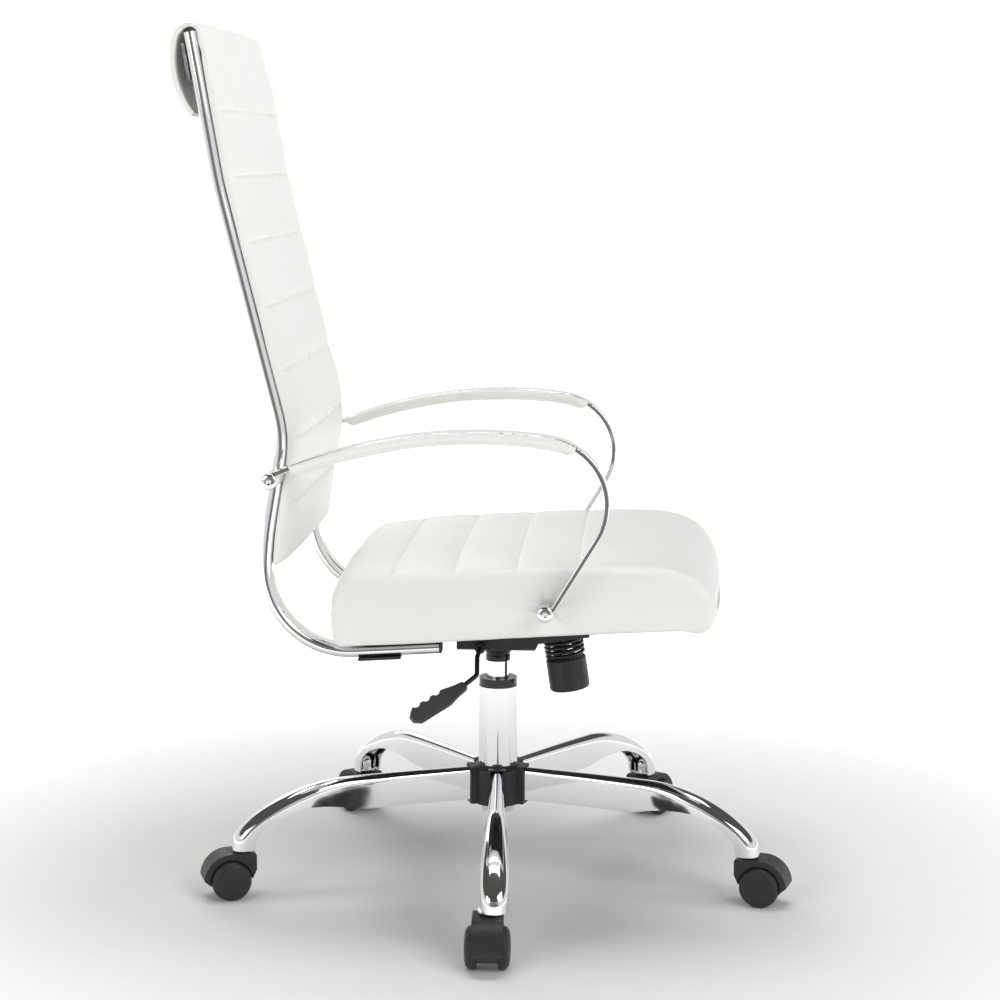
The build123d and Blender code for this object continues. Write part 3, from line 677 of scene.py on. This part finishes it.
def build_armpad(hand):
    """Pad that follows the arm's strap. The path runs rear to front, so its normal points down."""
    arm, pad = f"arm_{hand}", f"armpad_{hand}"
    low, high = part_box(pad)
    x_mid, half_full = (low.x + high.x) / 2, (high.x - low.x) / 2
    line = []
    for i in range(70):
        y = high.y - 2 * MM + (low.y + 6 * MM - high.y) * i / 69
        line.append((y, hit(arm, (x_mid, y, 1), (0, 0, -1)).z))
    path = smooth_path(line, 0.003, 10)
    total = distances(path)[-1]
    ends = [0.014 * (1 - math.cos(a * math.pi / 2 / 7)) for a in range(7)]
    middle = [0.014 + (total - 0.028) * i / 70 for i in range(71)]
    rows = ends + middle + [total - e for e in reversed(ends)]
    verts = []
    for s, (centre, normal) in zip(rows, path_frames(path, rows)):
        near = min(s, total - s)
        end = 1.0 if near >= 0.014 else max(0.05, 1 - (1 - near / 0.014) ** 2.4) ** (1 / 2.4)
        half = half_full * (0.62 + 0.38 * end)
        edge_t, r = 0.0090 * (0.45 + 0.55 * end), 0.0036 * (0.45 + 0.55 * end)
        inner = flat_back(half - r * 0.6, 0.0004, 7)
        loop, marks = section_loop(half, edge_t, 0.0004, r, r * 0.6, 9, 2, inner)
        for (x, t), mark in zip(loop, marks):
            if mark == "out":
                t += 0.0062 * end * (1 - (abs(x) / half) ** 2.6)
            verts.append(centre + normal * t + Vector((x_mid + x, 0, 0)))
    faces = ring_faces(len(rows), len(verts) // len(rows))
    obj = make_object(f"armpad_cover_{hand}", verts, faces, FINISH["white_leather"])
    subdivide(obj)
    roughen(obj, 0.05, 0.0007, 5.0)
    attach(obj, "seat")
    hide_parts(pad)


# ---- base legs and tension spring ----------------------------------------------------

# millimetres: (radius, height) of the leg's crest and of its lower edge, and its width
LEG_LINE = (
    ((22, 145.0), (22, 103.5), 15), ((110, 145.0), (110, 103.6), 18), ((180, 144.3), (178, 103.2), 21),
    ((216, 143.0), (207, 108.0), 24), ((248, 137.0), (236, 111.2), 28), ((280, 126.0), (262, 110.0), 31),
    ((310, 110.0), (287, 102.0), 33), ((334, 91.0), (306, 91.0), 33), ((345, 76.0), (318, 78.0), 33),
    ((347, 62.2), (321, 62.2), 33),
)


def leg_rows(steps):
    """Cross-sections of a leg (radius and height of top and bottom, width) on a smooth curve."""
    data = np.array([(*top, *low, wide) for top, low, wide in LEG_LINE]) * MM
    count = len(data)
    rows = []
    for i in range(1, count - 2):
        a, b, c, d = data[i - 1], data[i], data[i + 1], data[i + 2]
        for n in range(steps):
            t = n / steps
            rows.append(0.5 * (2 * b + (c - a) * t + (2 * a - 5 * b + 4 * c - d) * t ** 2
                               + (3 * b - a - 3 * c + d) * t ** 3))
    rows = [data[0] + (data[1] - data[0]) * n / 6 for n in range(6)] + rows
    return rows + [data[-2] + (data[-1] - data[-2]) * n / 3 for n in range(4)]


def build_leg(k):
    """Pressed sheet arm: a domed channel, its top narrower than its flanks, turned to leg k."""
    low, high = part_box(f"base_leg_{k}")
    turn = math.atan2((low.y + high.y) / 2, (low.x + high.x) / 2)
    side = Vector((-math.sin(turn), math.cos(turn), 0))
    out = Vector((math.cos(turn), math.sin(turn), 0))
    verts, rows, dome = [], leg_rows(5), 14
    for top_r, top_z, low_r, low_z, wide in rows:
        top = out * top_r + Vector((0, 0, top_z))
        base = out * low_r + Vector((0, 0, low_z))
        up = (top - base).normalized()
        height = (top - base).length
        for inset in (0.0, 2.3 * MM):
            half = wide / 2 - inset
            r = 0.92 * half
            arch = [(half, 0.0)]
            arch += [(half - r + r * math.cos(a), height - inset - r + r * math.sin(a))
                     for a in (math.pi / 2 * n / dome for n in range(dome + 1))]
            arch += [(-x, z) for x, z in reversed(arch)]
            if inset:
                arch.reverse()
            verts += [base + side * x + up * z for x, z in arch]
    around = len(verts) // len(rows)
    faces = ring_faces(len(rows), around, close_ends=False)
    leg = make_object(f"leg_shell_{k}", verts, faces, FINISH["chrome"])
    close_sheet(leg, len(rows), around)
    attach(leg, "base")
    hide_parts(f"base_leg_{k}")


def close_sheet(obj, rows, around):
    """Closes both ends of a bent sheet, between its outer and inner faces."""
    shape = bmesh.new()
    shape.from_mesh(obj.data)
    shape.verts.ensure_lookup_table()
    half = around // 2
    for base in (0, (rows - 1) * around):
        for j in range(half - 1):
            corners = [base + j, base + j + 1, base + around - 2 - j, base + around - 1 - j]
            shape.faces.new([shape.verts[c] for c in corners])
    bmesh.ops.recalc_face_normals(shape, faces=shape.faces)
    for edge in shape.edges:
        edge.smooth = not edge.is_manifold or edge.calc_face_angle() < 0.7
    shape.to_mesh(obj.data)
    shape.free()
    obj.data.polygons.foreach_set("use_smooth", [True] * len(obj.data.polygons))


def build_spring():
    """Tension spring between knob and housing, built as a fixed coil; on the chair it shortens as the
    seat tilts back.
    """
    lean = math.radians(8.5)
    axis = Vector((0, math.sin(lean), math.cos(lean)))
    front = Vector((0, math.cos(lean), -math.sin(lean)))
    foot = Vector((0, -92.5 * MM, 247 * MM))
    verts, ring, wire, coil = [], 10, 2.5 * MM, 23.6 * MM
    low, high, turns, steps = 43.6 * MM, 72.4 * MM, 5.0, 260
    for i in range(steps + 1):
        f = i / steps
        a = 2 * math.pi * turns * f
        out = Vector((1, 0, 0)) * math.cos(a) + front * math.sin(a)
        centre = foot + axis * (low + (high - low) * f) + out * coil
        for j in range(ring):
            b = 2 * math.pi * j / ring
            verts.append(centre + (out * math.cos(b) + axis * math.sin(b)) * wire)
    obj = make_object("tension_coils", verts, ring_faces(steps + 1, ring), FINISH["gloss_black"])
    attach(obj, "carriage")
    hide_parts("tension_spring")
    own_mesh(obj)


def build_housing():
    """Pressed housing of the tilt mechanism, with sloping flanks under the seat."""
    low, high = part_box("mechanism_housing")
    half, floor, rear, front = high.x + 3.6 * MM, 304 * MM, high.y, low.y
    seat_z = hit("mechanism_housing", (0.045, -0.060, 0.2), (0, 0, 1)).z
    nose_y = front + 3 * MM
    nose_z = hit("mechanism_housing", (0.045, nose_y, 0.2), (0, 0, 1)).z
    # (y, height of the underside): deep over the column, shallow over the spring, turned up in front
    stations = [(rear, floor), (rear - 4 * MM, floor), (-0.046, floor), (-0.050, floor),
                (-0.0545, seat_z - 0.001), (-0.060, seat_z), (nose_y, nose_z), (front, seat_z + 0.0085)]
    verts, wall = [], 1.5 * MM
    for y, base in stations:
        flank = max(311.5 * MM, base + 2 * MM)
        for inset in (0.0, wall):
            x, z = half - inset, base + inset
            shelf = min(z + 3.4 * MM, flank - 2.6 * MM + inset)
            arch = [(x, high.z), (x, flank + inset * 0.7), (x - 3 * MM, flank - 2.2 * MM + inset),
                    (57 * MM - inset, shelf), (25 * MM, z + 0.8 * MM), (21 * MM, z)]
            arch += [(-px, pz) for px, pz in reversed(arch)]
            if inset:
                arch.reverse()
            verts += [Vector((px, y, pz)) for px, pz in arch]
    around = len(verts) // len(stations)
    faces = ring_faces(len(stations), around, close_ends=False)
    obj = make_object("housing_shell", verts, faces, FINISH["black_steel"])
    close_sheet(obj, len(stations), around)
    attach(obj, "carriage")
    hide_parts("mechanism_housing")


def turned(name, profile, place, axis, material, body, replaced=None):
    """Solid turned from (radius, distance) points about an axis through place."""
    axis = Vector(axis)
    side = axis.orthogonal().normalized()
    other = axis.cross(side)
    around, verts = 48, []
    for r, d in profile:
        for j in range(around):
            a = 2 * math.pi * j / around
            verts.append(place + axis * d + (side * math.cos(a) + other * math.sin(a)) * r)
    obj = make_object(name, verts, ring_faces(len(profile), around), material)
    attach(obj, body)
    if replaced:
        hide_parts(replaced)


def build_turned():
    """Flared boss under the mechanism, and domed caps on the four arm bosses."""
    boss = [(r * MM, z * MM) for r, z in (
        (14.3, 283), (15.4, 283), (15.9, 283.6), (15.9, 290.2), (15.2, 291.2), (15.4, 292.4), (17.2, 295),
        (19.4, 300.5), (20.4, 303.5), (20.4, 306), (14.3, 306))]
    turned("boss_flare", boss, Vector(), (0, 0, 1), FINISH["gloss_black"], "carriage",
           "mechanism_boss")
    _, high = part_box("arm_bolts")
    cap = [(r * MM, d * MM) for r, d in (
        (9.3, -1.0), (9.5, 0.0), (9.3, 0.6), (8.2, 1.3), (6.0, 2.0), (3.4, 2.35), (2.7, 2.3), (2.5, 1.2),
        (0.4, 1.1))]
    for side, hand in ((-1, "right"), (1, "left")):
        for spot, (y, z) in (("rear", (0.2493, 0.5462)), ("front", (FRONT_BOSS_Y, 0.3947))):
            place = Vector((side * (high.x + 0.1 * MM), y, z))
            turned(f"arm_cap_{spot}_{hand}", cap, place, (side, 0, 0), FINISH["chrome"], "seat")


# ---- floor, light and camera ---------------------------------------------------------


def build_floor():
    size, near = 14.0, -2.0
    corners = [(near, -size, 0), (size, -size, 0), (size, size, 0), (near, size, 0)]
    g = Graph("floor", (0.93, 0.93, 0.925), 0.75, specular=0.2)
    g.bump(g.noise(60, 3), 0.0002, 0.2)
    g.glow(0.25, 1.9)
    floor = make_object("floor", corners, [(0, 1, 2, 3)], g.mat, smooth=False)


def area_light(name, place, aim, size, watts):
    data = bpy.data.lights.new(name, "AREA")
    data.shape = "RECTANGLE"
    data.size, data.size_y = size
    data.energy = watts
    light = bpy.data.objects.new(name, data)
    light.location = place
    light.rotation_euler = (Vector(aim) - Vector(place)).to_track_quat("-Z", "Y").to_euler()
    bpy.context.scene.collection.objects.link(light)


def build_lights():
    centre = (0, 0, 0.5)
    area_light("key", (-2.6, -2.4, 2.7), centre, (2.4, 2.0), 52)
    area_light("fill", (-2.7, 2.2, 1.7), centre, (2.0, 1.6), 22)
    area_light("rim", (2.6, 1.4, 2.2), centre, (2.0, 2.0), 21)
    area_light("top", (0.2, 0.0, 3.4), centre, (2.6, 1.2), 44)
    bpy.context.scene.view_settings.view_transform = "Standard"


def build_world():
    """Soft studio surroundings for reflections, darker behind the camera; plain white when seen."""
    world = bpy.data.worlds.new("studio")
    world.use_nodes = True
    nodes, links = world.node_tree.nodes, world.node_tree.links
    sky = nodes["Background"]
    place = nodes.new("ShaderNodeTexCoord")
    split = nodes.new("ShaderNodeSeparateXYZ")
    ramp = nodes.new("ShaderNodeValToRGB")
    links.new(place.outputs["Generated"], split.inputs["Vector"])
    links.new(split.outputs["Z"], ramp.inputs["Fac"])
    stops = ramp.color_ramp.elements
    stops[0].position, stops[0].color = 0.0, (0.92, 0.93, 0.94, 1)
    stops[1].position, stops[1].color = 1.0, (0.10, 0.10, 0.095, 1)
    for at, grey in ((0.36, 0.92), (0.46, 0.09)):
        stop = stops.new(at)
        stop.color = (grey, grey, grey, 1)
    plain = nodes.new("ShaderNodeBackground")
    plain.inputs["Color"].default_value = (1, 1, 1, 1)
    pick = nodes.new("ShaderNodeMixShader")
    path = nodes.new("ShaderNodeLightPath")
    links.new(ramp.outputs["Color"], sky.inputs["Color"])
    behind = nodes.new("ShaderNodeMapRange")
    behind.inputs["From Min"].default_value, behind.inputs["From Max"].default_value = -0.97, -0.80
    behind.inputs["To Min"].default_value, behind.inputs["To Max"].default_value = 0.22, 0.92
    links.new(split.outputs["X"], behind.inputs["Value"])
    links.new(behind.outputs["Result"], sky.inputs["Strength"])
    links.new(path.outputs["Is Camera Ray"], pick.inputs["Fac"])
    links.new(sky.outputs["Background"], pick.inputs[1])
    links.new(plain.outputs["Background"], pick.inputs[2])
    links.new(pick.outputs["Shader"], nodes["World Output"].inputs["Surface"])
    bpy.context.scene.world = world


def build_camera():
    yaw, pitch = math.radians(CAMERA_YAW), math.radians(CAMERA_PITCH)
    ahead = Vector((math.cos(pitch) * math.cos(yaw), math.cos(pitch) * math.sin(yaw), -math.sin(pitch)))
    data = bpy.data.cameras.new("camera")
    data.lens, data.sensor_width = LENS, SENSOR
    data.clip_end = 60
    camera = bpy.data.objects.new("camera", data)
    turn = ahead.to_track_quat("-Z", "Y").to_matrix().to_4x4()
    roll = Matrix.Rotation(math.radians(CAMERA_ROLL), 4, "Z")
    camera.matrix_world = Matrix.Translation(CAMERA_AT) @ turn @ roll
    bpy.context.scene.collection.objects.link(camera)
    bpy.context.scene.camera = camera


build_camera()
build_lights()
build_world()
build_floor()
finish_cad()
seat, edge_line = build_seat()
seat_stitching(seat, edge_line)
build_back()
for hand in ("right", "left"):
    build_armpad(hand)
for k in range(1, 6):
    build_leg(k)
build_spring()
build_housing()
build_turned()
